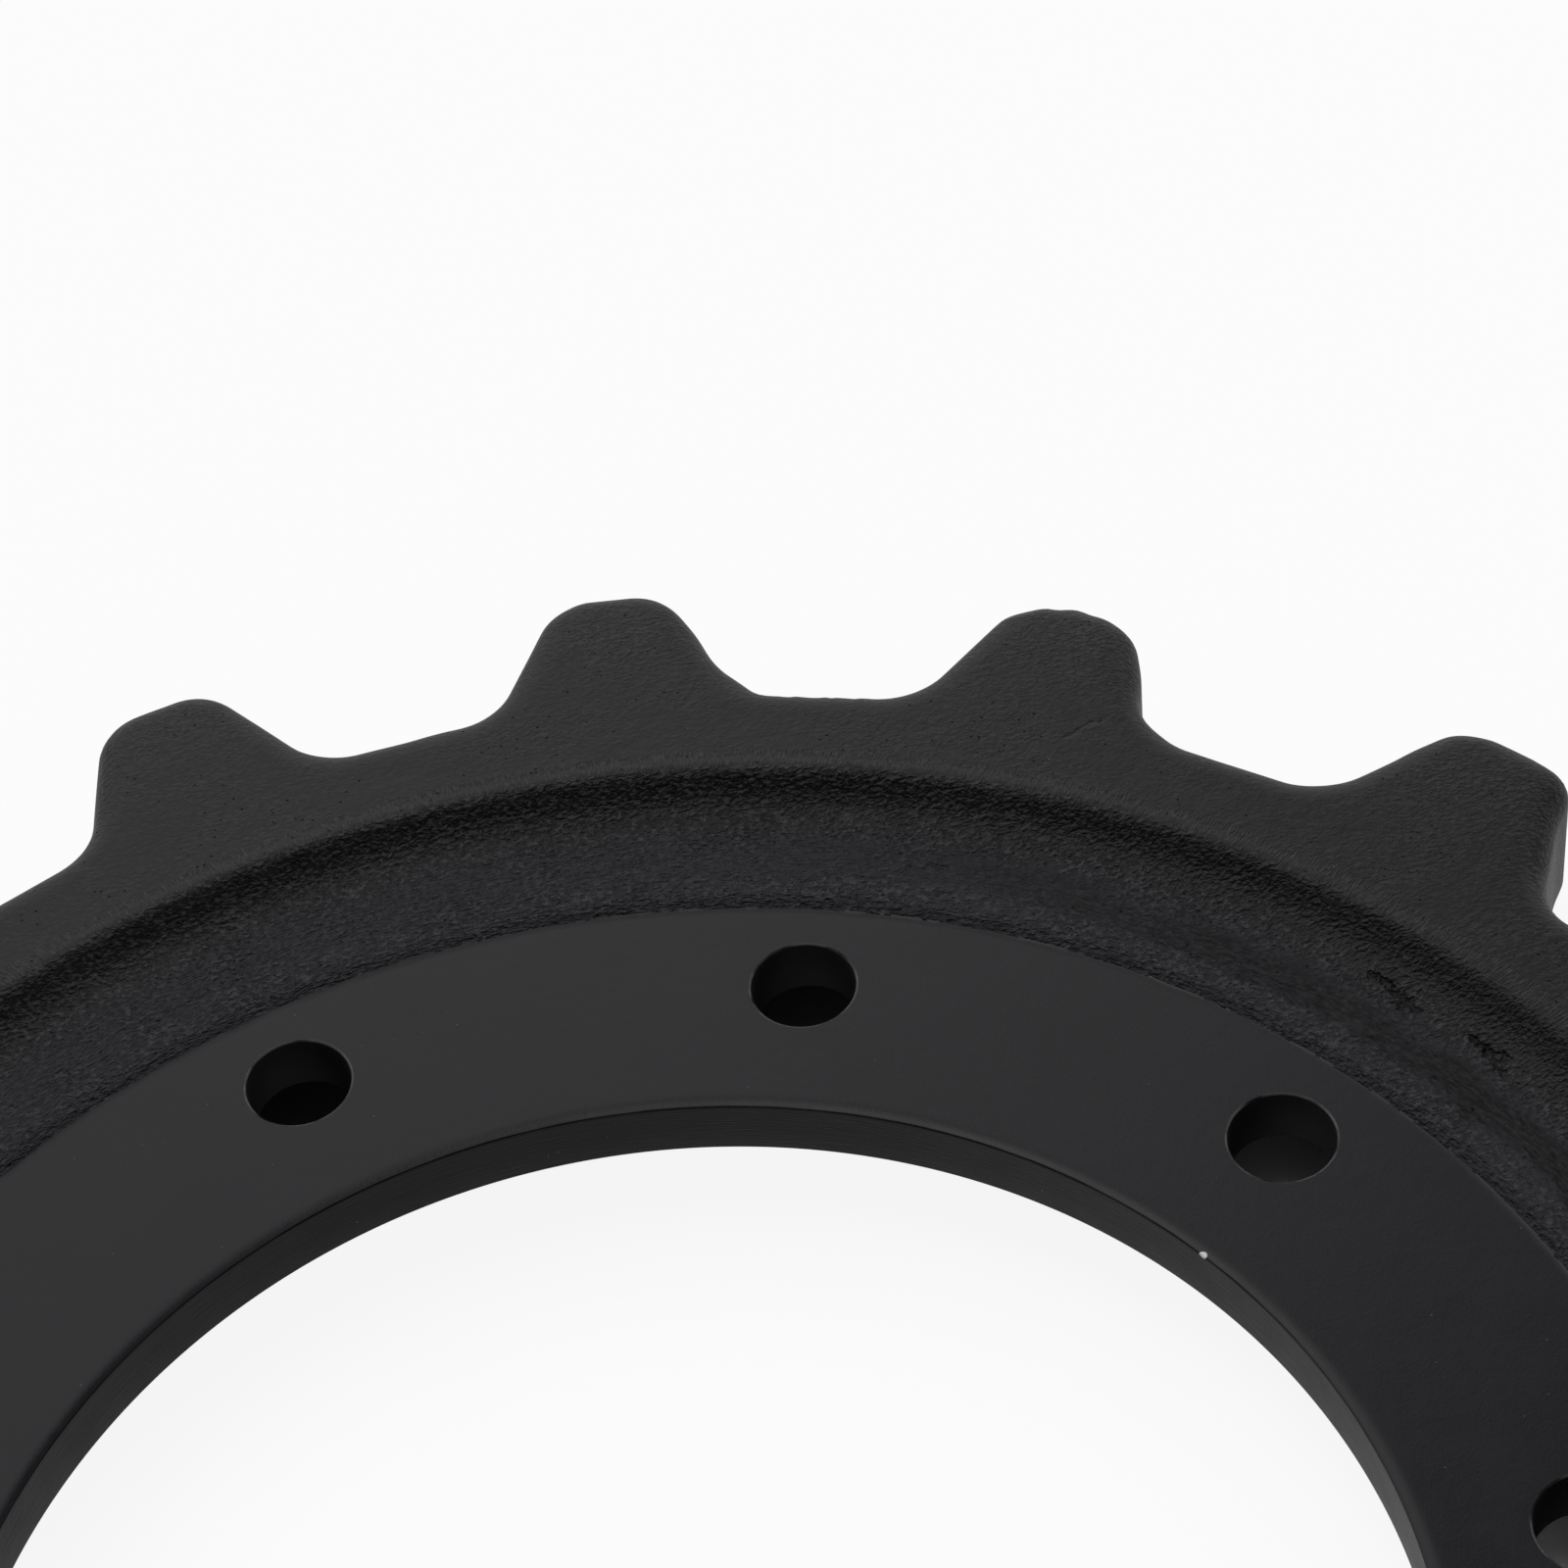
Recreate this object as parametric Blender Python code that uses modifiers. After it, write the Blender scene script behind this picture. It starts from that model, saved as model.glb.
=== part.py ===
"""Track sprocket: one iron casting with crowned teeth, a dished web and a machined bolting flange.

Metres, +Z up along the axis. The origin is the centre of the ring on the plane that it rests on.
"""

import math

import bmesh
import bpy

# Radii are measured from the axis, and each ring's width is added to the one inside it.
BORE_RADIUS = 0.1150
# From the bore out to the bolt circle, and on to the edge of the machined flange.
BOLT_SETBACK = 0.0265
FLANGE_MARGIN = 0.0169
# From the machined edge out to the crest of the ridge, across the dish.
DISH_WIDTH = 0.0308
# From the crest of the ridge out to the root of the teeth.
RIM_WIDTH = 0.0173
TOOTH_HEIGHT = 0.0268

# Teeth.
TOOTH_COUNT = 17
# Width of a tooth across its flanks where they would meet the root circle and the tip.
TOOTH_BASE_WIDTH = 0.0440
TOOTH_TIP_WIDTH = 0.0210
TIP_CORNER_ROUND = 0.0103
ROOT_FILLET = 0.0132
TOOTH_WIDTH = 0.0320
CROWN_ROUND = 0.0058
# Angle of the first tooth from the first bolt hole.
TOOTH_PHASE = math.radians(-0.97)

# Bolting flange, machined on both faces and in the bore.
FLANGE_THICKNESS = 0.0114
# Depth of the machined face below the tooth face.
FLANGE_RECESS = 0.0061
# Height of the cast surface that the facing cut left around the flange.
CAST_STEP = 0.0008
BORE_CHAMFER = 0.0009

# Bolt holes.
BOLT_COUNT = 10
BOLT_HOLE_RADIUS = 0.0089
BOLT_HOLE_CHAMFER = 0.0005

# Dish on the tooth face side: an ogee wall from the web up to the ridge.
RIDGE_ROUND = 0.0062
DISH_FILLET = 0.0112
DISH_WALL_ANGLE = math.radians(43)

# Hollow on the other side, inside the tooth rim, whose width is measured from the root.
BACK_RIM_WIDTH = 0.0215
BACK_FILLET = 0.0080
BACK_WALL_ANGLE = math.radians(76)
BACK_EDGE_ROUND = 0.0030

# Facets.
RING_STEPS = 80
HOLE_STEPS = 20
CORNER_STEPS = 4
CROWN_STEPS = 3
# How far a cutter runs past the face that it cuts.
OVERRUN = 0.0100

BOLT_CIRCLE_RADIUS = BORE_RADIUS + BOLT_SETBACK
MACHINED_RADIUS = BOLT_CIRCLE_RADIUS + FLANGE_MARGIN
RIDGE_RADIUS = MACHINED_RADIUS + DISH_WIDTH
ROOT_RADIUS = RIDGE_RADIUS + RIM_WIDTH
TIP_RADIUS = ROOT_RADIUS + TOOTH_HEIGHT
BACK_RIM_RADIUS = ROOT_RADIUS - BACK_RIM_WIDTH
TOOTH_FACE_Z = TOOTH_WIDTH
FLANGE_TOP_Z = TOOTH_FACE_Z - FLANGE_RECESS
FLANGE_BACK_Z = FLANGE_TOP_Z - FLANGE_THICKNESS


def clear_scene():
    for obj in list(bpy.data.objects):
        bpy.data.objects.remove(obj, do_unlink=True)


def new_collection(name):
    collection = bpy.data.collections.new(name)
    bpy.context.scene.collection.children.link(collection)
    return collection


def arc(centre, radius, start, end, steps):
    """Points on an arc, both ends included. Angles are in radians."""
    points = []
    for i in range(steps + 1):
        angle = start + (end - start) * i / steps
        points.append((centre[0] + radius * math.cos(angle), centre[1] + radius * math.sin(angle)))
    return points


def rounded_corner(before, corner, after, radius, steps):
    """The arc that rounds one corner, kept within both of its sides."""
    ax, ay = before[0] - corner[0], before[1] - corner[1]
    bx, by = after[0] - corner[0], after[1] - corner[1]
    a_length = math.hypot(ax, ay)
    b_length = math.hypot(bx, by)
    ax, ay = ax / a_length, ay / a_length
    bx, by = bx / b_length, by / b_length
    half = math.acos(max(-1.0, min(1.0, ax * bx + ay * by))) / 2
    tangent = min(radius / math.tan(half), 0.48 * a_length, 0.48 * b_length)
    radius = tangent * math.tan(half)
    length = math.hypot(ax + bx, ay + by)
    reach = radius / math.sin(half)
    centre = (corner[0] + (ax + bx) / length * reach, corner[1] + (ay + by) / length * reach)
    start = math.atan2(corner[1] + ay * tangent - centre[1], corner[0] + ax * tangent - centre[0])
    end = math.atan2(corner[1] + by * tangent - centre[1], corner[0] + bx * tangent - centre[0])
    turn = (end - start + math.pi) % (2 * math.pi) - math.pi
    return arc(centre, radius, start, start + turn, steps)


def turned_around(point, angle):
    c, s = math.cos(angle), math.sin(angle)
    return (point[0] * c - point[1] * s, point[0] * s + point[1] * c)


def tooth_outline():
    """The toothed outline, anticlockwise. Each tooth is drawn about +X and turned to its place."""
    half_pitch = math.pi / TOOTH_COUNT
    slope = (TOOTH_BASE_WIDTH - TOOTH_TIP_WIDTH) / 2 / TOOTH_HEIGHT
    tip = (TIP_RADIUS, TOOTH_TIP_WIDTH / 2)
    # The flank meets the straight root line, which is square to the middle of the gap.
    run = math.cos(half_pitch) - slope * math.sin(half_pitch)
    offset = TOOTH_BASE_WIDTH / 2 + ROOT_RADIUS * slope
    foot_x = (ROOT_RADIUS - offset * math.sin(half_pitch)) / run
    foot = (foot_x, offset - foot_x * slope)
    gap = turned_around((ROOT_RADIUS, 0), half_pitch)
    upper = rounded_corner((TIP_RADIUS, -tip[1]), tip, foot, TIP_CORNER_ROUND, CORNER_STEPS)
    upper += rounded_corner(tip, foot, gap, ROOT_FILLET, CORNER_STEPS)
    lower = [(x, -y) for x, y in reversed(upper)]
    points = []
    for k in range(TOOTH_COUNT):
        angle = TOOTH_PHASE + 2 * half_pitch * k
        points += [turned_around(point, angle) for point in lower + upper]
    return points


def toothed_disc(name, collection):
    """The toothed outline drawn up to the tooth width, with crowned edges on both faces."""
    mesh = bpy.data.meshes.new(name)
    bm = bmesh.new()
    face = bm.faces.new([bm.verts.new((x, y, 0.0)) for x, y in tooth_outline()])
    bm.normal_update()
    made = bmesh.ops.extrude_face_region(bm, geom=[face])
    raised = [item for item in made["geom"] if isinstance(item, bmesh.types.BMVert)]
    bmesh.ops.translate(bm, verts=raised, vec=(0, 0, TOOTH_FACE_Z))
    bmesh.ops.recalc_face_normals(bm, faces=bm.faces)
    bm.to_mesh(mesh)
    bm.free()
    disc = bpy.data.objects.new(name, mesh)
    collection.objects.link(disc)
    crown = disc.modifiers.new("crowned_edges", "BEVEL")
    crown.width = CROWN_ROUND
    crown.segments = CROWN_STEPS
    crown.limit_method = "ANGLE"
    crown.angle_limit = math.radians(60)
    return disc


def turned(name, profile, steps, closed, collection):
    """A profile of (radius, height) points turned about the Z axis."""
    mesh = bpy.data.meshes.new(name)
    edges = [(i, i + 1) for i in range(len(profile) - 1)]
    if closed:
        edges.append((len(profile) - 1, 0))
    mesh.from_pydata([(radius, 0.0, height) for radius, height in profile], edges, [])
    obj = bpy.data.objects.new(name, mesh)
    collection.objects.link(obj)
    screw = obj.modifiers.new("turn", "SCREW")
    screw.axis = "Z"
    screw.angle = 2 * math.pi
    screw.steps = steps
    screw.render_steps = steps
    screw.use_merge_vertices = True
    screw.merge_threshold = 0.00001
    return obj


def dish_profile():
    """The front of the web, from the machined face out to past the tooth tips."""
    web_z = FLANGE_TOP_Z + CAST_STEP
    rise = TOOTH_FACE_Z - web_z
    drop = 1 - math.cos(DISH_WALL_ANGLE)
    ridge_round = min(RIDGE_ROUND, 0.45 * rise / drop)
    fillet = min(DISH_FILLET, 0.95 * (rise / drop - ridge_round))
    ridge = (RIDGE_RADIUS, TOOTH_FACE_Z - ridge_round)
    # The ridge's arc stops just short of level and runs on at that slope, clear of the tooth face.
    last = math.radians(4)
    run_on = TIP_RADIUS + 2 * OVERRUN
    convex = arc(ridge, ridge_round, math.pi / 2 + DISH_WALL_ANGLE, math.pi / 2 + last, 3)
    lift = TOOTH_FACE_Z - convex[-1][1]
    convex = [(radius, height + lift) for radius, height in convex]
    straight = rise - (ridge_round + fillet) * drop
    reach = straight / math.tan(DISH_WALL_ANGLE) + (ridge_round + fillet) * math.sin(DISH_WALL_ANGLE)
    valley = (RIDGE_RADIUS - reach, web_z + fillet)
    concave = arc(valley, fillet, -math.pi / 2, -math.pi / 2 + DISH_WALL_ANGLE, 3)
    end = (run_on, convex[-1][1] + (run_on - convex[-1][0]) * math.tan(last))
    step = [(MACHINED_RADIUS, FLANGE_TOP_Z), (MACHINED_RADIUS + 0.6 * CAST_STEP, web_z)]
    return step + concave + convex + [end]


def back_profile():
    """The back of the web, from past the tooth tips in to the machined back face."""
    web_z = FLANGE_BACK_Z - CAST_STEP
    low = -OVERRUN
    foot = (BACK_RIM_RADIUS - web_z / math.tan(BACK_WALL_ANGLE), web_z)
    edge = (BACK_RIM_RADIUS, 0.0)
    flare = (BACK_RIM_RADIUS + 0.6 * OVERRUN, low)
    inner = (MACHINED_RADIUS + 0.6 * CAST_STEP, web_z)
    points = [(TIP_RADIUS + 2 * OVERRUN, low), flare]
    points += rounded_corner(flare, edge, foot, BACK_EDGE_ROUND, 2)
    points += rounded_corner(edge, foot, inner, BACK_FILLET, 3)
    return points + [inner, (MACHINED_RADIUS, FLANGE_BACK_Z)]


def section_profile():
    """The whole turned section, clockwise from the top of the bore."""
    chamfer = min(BORE_CHAMFER, 0.4 * FLANGE_THICKNESS)
    points = [(BORE_RADIUS, FLANGE_TOP_Z - chamfer), (BORE_RADIUS + chamfer, FLANGE_TOP_Z)]
    points += dish_profile()
    points += back_profile()
    points += [(BORE_RADIUS + chamfer, FLANGE_BACK_Z), (BORE_RADIUS, FLANGE_BACK_Z + chamfer)]
    return points


def bolt_hole_profile():
    """One bolt hole with its chamfers, as a turned cutter, down its outer side."""
    chamfer = min(BOLT_HOLE_CHAMFER, 0.4 * FLANGE_THICKNESS)
    wide = BOLT_HOLE_RADIUS + chamfer + OVERRUN
    return [
        (0.0, FLANGE_TOP_Z + OVERRUN),
        (wide, FLANGE_TOP_Z + OVERRUN),
        (BOLT_HOLE_RADIUS, FLANGE_TOP_Z - chamfer),
        (BOLT_HOLE_RADIUS, FLANGE_BACK_Z + chamfer),
        (wide, FLANGE_BACK_Z - OVERRUN),
        (0.0, FLANGE_BACK_Z - OVERRUN),
    ]


def hide_helper(obj):
    obj.hide_render = True
    obj.display_type = "WIRE"


def boolean(obj, name, operation, other):
    cut = obj.modifiers.new(name, "BOOLEAN")
    cut.operation = operation
    cut.solver = "EXACT"
    cut.object = other


def painted_iron():
    material = bpy.data.materials.new("black_painted_iron")
    material.use_nodes = True
    shader = material.node_tree.nodes["Principled BSDF"]
    shader.inputs["Base Color"].default_value = (0.0130, 0.0134, 0.0140, 1.0)
    shader.inputs["Metallic"].default_value = 0.0
    shader.inputs["Roughness"].default_value = 0.42
    material.diffuse_color = (0.0130, 0.0134, 0.0140, 1.0)
    return material


def build():
    clear_scene()
    part = new_collection("track_sprocket")
    cutters = new_collection("cutters")
    sprocket = toothed_disc("sprocket", part)
    section = turned("turned_section", section_profile(), RING_STEPS, True, cutters)
    hide_helper(section)
    boolean(sprocket, "web_and_flange", "INTERSECT", section)
    for k in range(BOLT_COUNT):
        hole = turned(f"bolt_hole_{k + 1}", bolt_hole_profile(), HOLE_STEPS, False, cutters)
        x, y = turned_around((BOLT_CIRCLE_RADIUS, 0.0), 2 * math.pi * k / BOLT_COUNT)
        hole.location = (x, y, 0.0)
        hide_helper(hole)
        boolean(sprocket, f"bolt_hole_{k + 1}", "DIFFERENCE", hole)
    sprocket.data.materials.append(painted_iron())
    sprocket.data.shade_smooth()
    sprocket.data.set_sharp_from_angle(angle=math.radians(35))


build()
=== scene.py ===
"""The dressed track sprocket: a finely drawn casting under satin black paint, on a pale floor."""

import math

import bpy
from mathutils import Matrix, Vector, geometry, kdtree, noise


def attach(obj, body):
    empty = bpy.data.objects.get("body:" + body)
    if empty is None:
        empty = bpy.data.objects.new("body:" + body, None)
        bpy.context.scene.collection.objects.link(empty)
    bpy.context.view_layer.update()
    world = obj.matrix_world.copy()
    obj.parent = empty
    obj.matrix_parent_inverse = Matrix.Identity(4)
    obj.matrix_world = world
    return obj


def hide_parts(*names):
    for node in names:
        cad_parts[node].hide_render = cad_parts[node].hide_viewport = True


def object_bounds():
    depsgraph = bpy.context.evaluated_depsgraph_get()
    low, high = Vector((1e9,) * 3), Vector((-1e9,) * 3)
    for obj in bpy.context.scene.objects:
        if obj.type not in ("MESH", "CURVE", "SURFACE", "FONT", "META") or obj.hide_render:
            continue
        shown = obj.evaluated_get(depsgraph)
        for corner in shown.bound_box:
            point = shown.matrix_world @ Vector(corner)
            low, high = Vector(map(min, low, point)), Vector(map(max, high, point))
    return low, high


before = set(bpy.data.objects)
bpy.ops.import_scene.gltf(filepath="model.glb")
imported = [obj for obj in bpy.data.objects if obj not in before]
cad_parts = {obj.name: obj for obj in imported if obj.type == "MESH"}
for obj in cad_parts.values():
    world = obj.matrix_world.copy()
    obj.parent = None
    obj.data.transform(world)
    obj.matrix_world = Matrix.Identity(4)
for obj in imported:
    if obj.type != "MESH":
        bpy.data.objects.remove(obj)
cad_lo, cad_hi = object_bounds()

# Sizes of the casting, in metres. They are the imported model's.
TEETH = 17
TIP_R = 0.2333
ROOT_R = 0.2065
BASE_W = 0.0440
TIP_W = 0.0210
TIP_CORNER = 0.0103
ROOT_FILLET = 0.0132
PHASE = math.radians(-0.97)
CROWN_R = 0.0058
CORNER_SHARE = 0.48  # No corner takes more than this share of a straight side.
BORE_R = 0.1150
FACE_Z = 0.0259
BACK_Z = 0.0145
MACHINED_R = 0.1584
HOLES = 10
HOLE_CIRCLE = 0.1415
HOLE_R = 0.0089

# The surface that the cast skin really has: a crest on the ridge, a rising dish and domed teeth.
CREST_Z = 0.03197
CREST_R = 0.1873
TOOTH_Z = 0.03178
DISH_Z = 0.02675
DISH_RISE = 0.0006
RIDGE_ROUND = 0.0040
VALLEY_ROUND = 0.0095
WALL = math.radians(42)
DISH_START = 0.0031
DISH_RISES = (0.1610, 0.1775)
CREST_FALL = 0.0020
TOOTH_FACE_R = 0.1950
DOME = 0.00010
DOME_FADE = 0.0045
MIDDLE_Z = 0.0160

# The cast step beside the facing cut: how far out from the cut's edge, and how far above its face.
STEP_PROFILE = (
    (-0.0012, 0.0),
    (0.0, 0.0),
    (0.00030, 0.00010),
    (0.00080, 0.00032),
    (0.00140, 0.00056),
    (0.00215, 0.00075),
)
STEP_WOBBLE = 0.00028

# How far the skin stays inside the model's box, so that rounding can't put it outside.
INSIDE = 0.00001

# Hand dressing of the outline: angle in degrees, radius, how far out it stands and half width in
# degrees.
DRESSING = (
    (34.5, 0.206, -0.00050, 1.6),
    (38.6, 0.231, 0.00120, 1.5),
    (43.2, 0.232, -0.00045, 1.2),
    (44.6, 0.217, 0.00090, 1.2),
    (47.5, 0.206, 0.00030, 2.0),
    (57.3, 0.216, -0.00140, 1.5),
    (59.0, 0.230, 0.00040, 1.2),
    (62.4, 0.233, 0.00095, 0.9),
    (64.7, 0.230, -0.00085, 1.2),
    (77.8, 0.210, 0.00125, 1.5),
    (79.7, 0.224, 0.00045, 1.2),
    (86.0, 0.231, -0.00040, 1.4),
    (92.5, 0.206, 0.00035, 2.0),
    (105.5, 0.231, 0.00025, 2.0),
    (156.0, 0.231, -0.00040, 1.5),
    (201.0, 0.230, 0.00030, 1.6),
    (239.0, 0.231, -0.00050, 1.5),
    (300.0, 0.207, 0.00040, 2.0),
    (337.0, 0.229, -0.00035, 1.4),
)

# How far the outline stands out on average, and how much that varies.
STANDS_OUT = 0.00011
STANDS_SPREAD = 0.00010
DRESSING_REACH = 0.011
ROOT_FLASH = 0.00034

# Teeth in the photo's view get more columns. Steps are to half a tooth.
FINE_TEETH = range(0, 7)
FINE_STEPS = 50
COARSE_STEPS = 19
HOLE_STEPS = 64

# Shallow hollows in the tooth faces: x, y, half width and depth.
DENTS = (
    (0.02890, 0.21781, 0.0042, 0.00016),
    (0.10092, 0.17761, 0.0030, 0.00008),
    (0.15949, 0.12926, 0.0055, 0.00007),
    (-0.05500, 0.21300, 0.0050, 0.00008),
    (0.10600, 0.19700, 0.0048, 0.00007),
)

# Torn hollows at the foot of the dish wall: radius, angle in degrees, half length, half width and
# depth.
TORN = (
    (0.1771, 37.6, 0.0052, 0.0020, 0.00034),
    (0.1758, 36.2, 0.0032, 0.0017, 0.00022),
    (0.1777, 31.3, 0.0046, 0.0021, 0.00036),
    (0.1763, 30.2, 0.0040, 0.0022, 0.00028),
)

# How much lower the dish floor runs beside the wall on the side where the sweep sagged, the angles
# and radii between which that comes and goes, and where it starts.
SAG = 0.00055
SAG_COMES = (-25, 5)
SAG_GOES = (88, 50)
SAG_START_R = 0.1640
SAG_REACH = 0.0095
SAG_ENDS = (0.1790, 0.1745)


def smooth(edge0, edge1, x):
    """Zero at the first edge and one at the second, with a soft start and end."""
    t = max(0.0, min(1.0, (x - edge0) / (edge1 - edge0)))
    return t * t * (3 - 2 * t)


def bump(x, centre, width):
    """A smooth hill of height one and the given half width."""
    t = (x - centre) / width
    return (1 - t * t) ** 2 if abs(t) < 1 else 0.0


def sagged(theta, radius):
    """Share of the sag at one place of the dish floor."""
    deg = (math.degrees(theta) + 180) % 360 - 180
    side = smooth(*SAG_COMES, deg) * smooth(*SAG_GOES, deg)
    ramp = max(0.0, min(1.0, (radius - SAG_START_R) / SAG_REACH))
    return side * ramp * smooth(*SAG_ENDS, radius)


def turned_around(p, angle):
    """A point in the plane, turned about the axis."""
    c, s = math.cos(angle), math.sin(angle)
    return (p[0] * c - p[1] * s, p[0] * s + p[1] * c)


# The outline of the teeth


def half_tooth():
    """Half a tooth about +X, from the middle of the tip to the middle of the gap, as pieces."""
    half_pitch = math.pi / TEETH
    slope = (BASE_W - TIP_W) / 2 / (TIP_R - ROOT_R)
    tip = (TIP_R, TIP_W / 2)
    run = math.cos(half_pitch) - slope * math.sin(half_pitch)
    offset = BASE_W / 2 + ROOT_R * slope
    foot_x = (ROOT_R - offset * math.sin(half_pitch)) / run
    foot = (foot_x, offset - foot_x * slope)
    gap = turned_around((ROOT_R, 0), half_pitch)
    pieces = []
    start = (TIP_R, 0.0)
    for before, corner, after, radius in (
        ((TIP_R, -tip[1]), tip, foot, TIP_CORNER),
        (tip, foot, gap, ROOT_FILLET),
    ):
        a = Vector((before[0] - corner[0], before[1] - corner[1]))
        b = Vector((after[0] - corner[0], after[1] - corner[1]))
        la, lb = a.length, b.length
        a.normalize()
        b.normalize()
        half = math.acos(max(-1.0, min(1.0, a.dot(b)))) / 2
        tangent = min(radius / math.tan(half), CORNER_SHARE * la, CORNER_SHARE * lb)
        radius = tangent * math.tan(half)
        centre = Vector(corner) + (a + b).normalized() * (radius / math.sin(half))
        p0 = Vector(corner) + a * tangent
        p1 = Vector(corner) + b * tangent
        t0 = math.atan2(p0.y - centre.y, p0.x - centre.x)
        t1 = math.atan2(p1.y - centre.y, p1.x - centre.x)
        t1 = t0 + (t1 - t0 + math.pi) % (2 * math.pi) - math.pi
        pieces.append(("line", Vector(start), p0))
        pieces.append(("arc", centre, radius, t0, t1))
        start = p1
    pieces.append(("line", Vector(start), Vector(gap)))
    return pieces


def half_tooth_samples(count):
    """Even steps along half a tooth, ends included: point, outward normal and share of the way."""
    pieces = half_tooth()
    lengths = []
    for piece in pieces:
        if piece[0] == "line":
            lengths.append((piece[2] - piece[1]).length)
        else:
            lengths.append(abs(piece[4] - piece[3]) * piece[2])
    whole = sum(lengths)
    samples = []
    for i in range(count + 1):
        s = whole * i / count
        for piece, length in zip(pieces, lengths):
            if s <= length + 1e-12 or piece is pieces[-1]:
                t = min(1.0, s / length) if length else 0.0
                if piece[0] == "line":
                    p = piece[1].lerp(piece[2], t)
                    d = (piece[2] - piece[1]).normalized()
                    n = Vector((d.y, -d.x))
                else:
                    angle = piece[3] + (piece[4] - piece[3]) * t
                    p = piece[1] + Vector((math.cos(angle), math.sin(angle))) * piece[2]
                    n = Vector((math.cos(angle), math.sin(angle)))
                    if piece[4] < piece[3]:
                        n = -n
                samples.append(((p.x, p.y), (n.x, n.y), i / count))
                break
            s -= length
    return samples


def outline():
    """Columns round the whole part: outline point, outward normal and the angle used inside."""
    columns = []
    half_pitch = math.pi / TEETH
    for k in range(TEETH):
        steps = FINE_STEPS if k in FINE_TEETH else COARSE_STEPS
        half = half_tooth_samples(steps)
        lower = [((x, -y), (nx, -ny), -t) for (x, y), (nx, ny), t in reversed(half[1:])]
        turn = PHASE + 2 * half_pitch * k
        for p, n, t in (lower + half)[:-1]:
            inner = (p[0] - n[0] * CROWN_R, p[1] - n[1] * CROWN_R)
            # A blend of the true angle and of even spacing keeps the inner columns apart.
            inside = 0.7 * math.atan2(inner[1], inner[0]) + 0.3 * t * half_pitch
            columns.append((turned_around(p, turn), turned_around(n, turn), turn + inside))
    return columns


def cast_noise(x, y, scale, seed):
    """Noise over the plane, in lumps of the given size."""
    return noise.noise(Vector((x / scale + seed, y / scale - seed, 0.0)))


def round_noise(theta, turns, seed):
    """Noise round the axis that closes on itself."""
    return noise.noise(Vector((math.cos(theta) * turns, math.sin(theta) * turns, seed)))


def ragged(theta, radius):
    """How far the outline stands out or in at one place, from flash and hand dressing."""
    deg = math.degrees(theta) % 360
    out = STANDS_OUT + STANDS_SPREAD * round_noise(theta, 38, 2.3)
    for at, reach, stands, width in DRESSING:
        off = (deg - at + 180) % 360 - 180
        out += stands * bump(off, 0.0, width) * bump(radius, reach, DRESSING_REACH)
    # Flash left at the root between two teeth.
    root = smooth(70.6, 71.6, deg) * (1 - smooth(75.2, 76.2, deg)) * smooth(0.212, 0.208, radius)
    out += ROOT_FLASH * root * noise.noise(Vector((deg * 2.3, 5.1, 0.4)))
    return out


# The section that is turned about the axis, and the mesh


def dish_rows():
    """The turned front from the machined edge to the tooth face, as (radius, height, kind)."""
    rows = [(MACHINED_R + out, FACE_Z + up, "edge") for out, up in STEP_PROFILE]
    valley_z = DISH_Z + DISH_RISE
    rounds = RIDGE_ROUND + VALLEY_ROUND
    straight = max(CREST_Z - valley_z - rounds * (1 - math.cos(WALL)), 0.0)
    valley_r = CREST_R - (rounds * math.sin(WALL) + straight / math.tan(WALL))
    floor_steps, valley_steps, ridge_steps, crest_steps = 8, 8, 6, 5
    for i in range(floor_steps):
        r = MACHINED_R + DISH_START + (valley_r - MACHINED_R - DISH_START) * i / floor_steps
        rows.append((r, DISH_Z + DISH_RISE * smooth(*DISH_RISES, r), "dish"))
    for i in range(valley_steps + 1):
        a = WALL * i / valley_steps
        r = valley_r + VALLEY_ROUND * math.sin(a)
        rows.append((r, valley_z + VALLEY_ROUND * (1 - math.cos(a)), "wall"))
    # With no straight part, the two rounds share the point where they meet.
    first = 1 if straight < 1e-5 else 0
    for i in range(first, ridge_steps + 1):
        a = WALL * (1 - i / ridge_steps)
        r = CREST_R - RIDGE_ROUND * math.sin(a)
        rows.append((r, CREST_Z - RIDGE_ROUND * (1 - math.cos(a)), "wall"))
    for i in range(1, crest_steps + 1):
        t = i / crest_steps
        fallen = (CREST_Z - TOOTH_Z) * smooth(-0.15, 1, t)
        rows.append((CREST_R + CREST_FALL * i / crest_steps, CREST_Z - fallen, "face"))
    rows.append((TOOTH_FACE_R, TOOTH_Z, "face"))
    return rows


def back_rows():
    """The turned back from under the rim in to the bore, as (radius, height)."""
    web_z = BACK_Z - 0.0008
    wall = math.radians(76)
    rim, rim_flat = 0.1850, 0.1975
    lip, lip_round, lip_steps = 0.0023, 0.0030, 3
    hollow_round, hollow_steps = 0.0080, 5
    rows = [(rim_flat, 0.0)]
    for i in range(lip_steps + 1):
        a = wall * i / lip_steps
        rows.append((rim + lip - lip_round * math.sin(a), lip_round * (1 - math.cos(a))))
    top = rim - web_z / math.tan(wall)
    centre = (top - hollow_round * math.tan(wall / 2), web_z - hollow_round)
    for i in range(hollow_steps + 1):
        a = wall * (1 - i / hollow_steps)
        r = centre[0] + hollow_round * math.sin(a)
        rows.append((r, centre[1] + hollow_round * math.cos(a)))
    rows += [
        (0.1685, web_z),
        (MACHINED_R + 0.0006, web_z),
        (MACHINED_R, BACK_Z),
        (BORE_R + 0.00022, BACK_Z),
        (BORE_R + 0.00003, BACK_Z + 0.00014),
        (BORE_R, BACK_Z + 0.00040),
    ]
    return rows


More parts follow.
